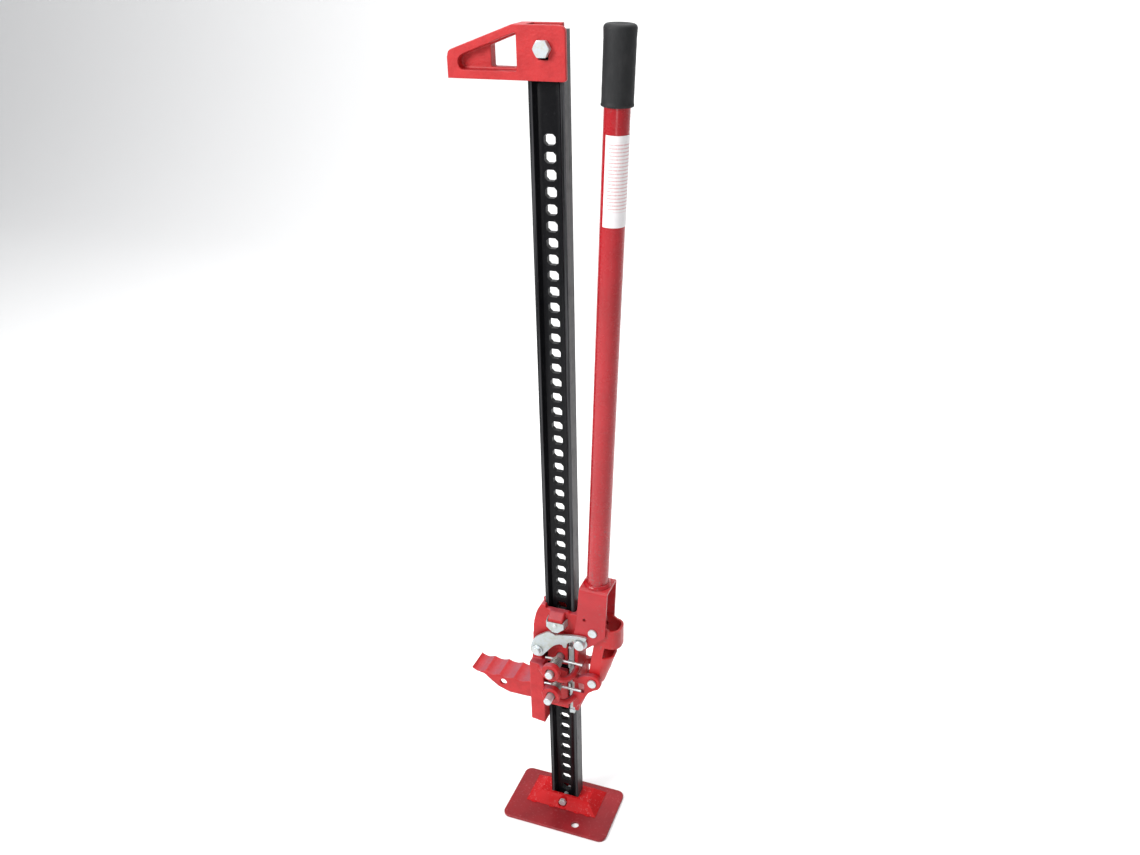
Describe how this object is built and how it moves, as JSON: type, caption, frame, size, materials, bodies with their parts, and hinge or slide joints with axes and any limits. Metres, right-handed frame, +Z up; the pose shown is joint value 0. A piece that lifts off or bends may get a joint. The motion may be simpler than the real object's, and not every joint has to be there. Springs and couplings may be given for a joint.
{
  "type": "high-lift farm jack",
  "caption": "High-lift mechanical jack: a holed steel rack on a foot plate, a climbing runner with lifting nose, a pump handle, a reversing latch and a top clamp.",
  "frame": {"origin": "on the ground under the middle of the rack", "axes": "+Z up the rack, -X the lifting nose side, +X the handle side, -Y the side that the climbing pins face"},
  "size_m": [0.2641, 0.115, 1.2334],
  "materials": {
    "rack_black": "gloss black enamel",
    "base_red": "semi-gloss dark red paint on pressed steel",
    "clamp_red": "red enamel on rough casting",
    "casting_red": "satin red enamel on casting",
    "pitman_red": "red enamel on bent plate",
    "socket_red": "satin red enamel on bent plate",
    "tube_red": "gloss red enamel",
    "grip_rubber": "matt moulded rubber",
    "label_print": "printed film",
    "zinc_plate": "bright zinc plate",
    "zinc_fastener": "zinc plated",
    "spring_steel": "oiled spring steel"
  },
  "bodies": {
    "rack": {"rack_bar": "rack_black", "base_plate": "base_red", "base_pocket": "base_red", "base_bolt": "zinc_fastener", "base_nut": "zinc_fastener", "top_clamp": "clamp_red", "clamp_bolt": "zinc_fastener", "clamp_washer": "zinc_fastener", "clamp_nut": "zinc_fastener"},
    "large_runner": {"large_runner_casting": "casting_red", "pivot_bushing": "spring_steel", "pivot_washer": "zinc_fastener", "shear_bolt": "zinc_fastener", "shear_bolt_nut": "zinc_fastener", "detent_clip": "zinc_plate", "clip_rivet": "zinc_fastener", "latch_pivot_bolt": "zinc_fastener", "latch_pivot_nut": "zinc_fastener", "upper_pin_spring": "spring_steel"},
    "latch": {"reversing_latch": "zinc_plate"},
    "strap": {"release_strap": "zinc_plate", "strap_peg": "zinc_fastener"},
    "upper_pin": {"upper_climbing_pin": "zinc_fastener", "upper_cross_pin": "zinc_fastener"},
    "small_runner": {"small_runner_casting": "casting_red", "pitman_lower_pin": "zinc_fastener", "lower_pin_ring": "zinc_fastener", "lower_pin_spring": "spring_steel"},
    "lower_pin": {"lower_climbing_pin": "zinc_fastener", "lower_cross_pin": "zinc_fastener"},
    "pitman": {"pitman": "pitman_red"},
    "handle": {"handle_socket": "socket_red", "handle_tube": "tube_red", "handle_weld": "tube_red", "handle_grip": "grip_rubber", "handle_label": "label_print", "pitman_upper_pin": "zinc_fastener", "upper_pin_ring": "zinc_fastener"}
  },
  "joints": [
    {"name": "carriage_slide", "type": "slide", "parent": "rack", "child": "large_runner", "axis": [0, 0, 1], "range_m": [-0.1308, 0.654]},
    {"name": "handle_pivot", "type": "hinge", "parent": "large_runner", "child": "handle", "pos_m": [0.0368, 0, 0.3532], "axis": [0, 1, 0], "range_deg": [0, 93.07]},
    {"name": "small_runner_slide", "type": "slide", "parent": "large_runner", "child": "small_runner", "axis": [0, 0, 1], "range_m": [-0.0437, 0]},
    {"name": "pitman_pivot", "type": "hinge", "parent": "small_runner", "child": "pitman", "pos_m": [0.0563, 0, 0.284], "axis": [0, 1, 0], "range_deg": [0, 5.4]},
    {"name": "latch_pivot", "type": "hinge", "parent": "large_runner", "child": "latch", "pos_m": [-0.0323, 0, 0.3267], "axis": [0, -1, 0], "range_deg": [0, 12]},
    {"name": "strap_slide", "type": "slide", "parent": "large_runner", "child": "strap", "axis": [0, 0, 1], "range_m": [0, 0.0096]},
    {"name": "upper_pin_slide", "type": "slide", "parent": "large_runner", "child": "upper_pin", "axis": [0, -1, 0], "range_m": [0, 0.0082], "stiffness_N_per_m": 900, "springref_m": -0.006, "deforming": ["upper_pin_spring"]},
    {"name": "lower_pin_slide", "type": "slide", "parent": "small_runner", "child": "lower_pin", "axis": [0, 1, 0], "range_m": [0, 0.0082], "deforming": ["lower_pin_spring"]}
  ],
  "couplings": [
    {"joint": "small_runner_slide", "follows": "handle_pivot", "m_per_rad": -0.026841},
    {"joint": "pitman_pivot", "follows": "handle_pivot", "ratio": 0.0563},
    {"joint": "strap_slide", "follows": "latch_pivot", "m_per_rad": 0.0452}
  ]
}
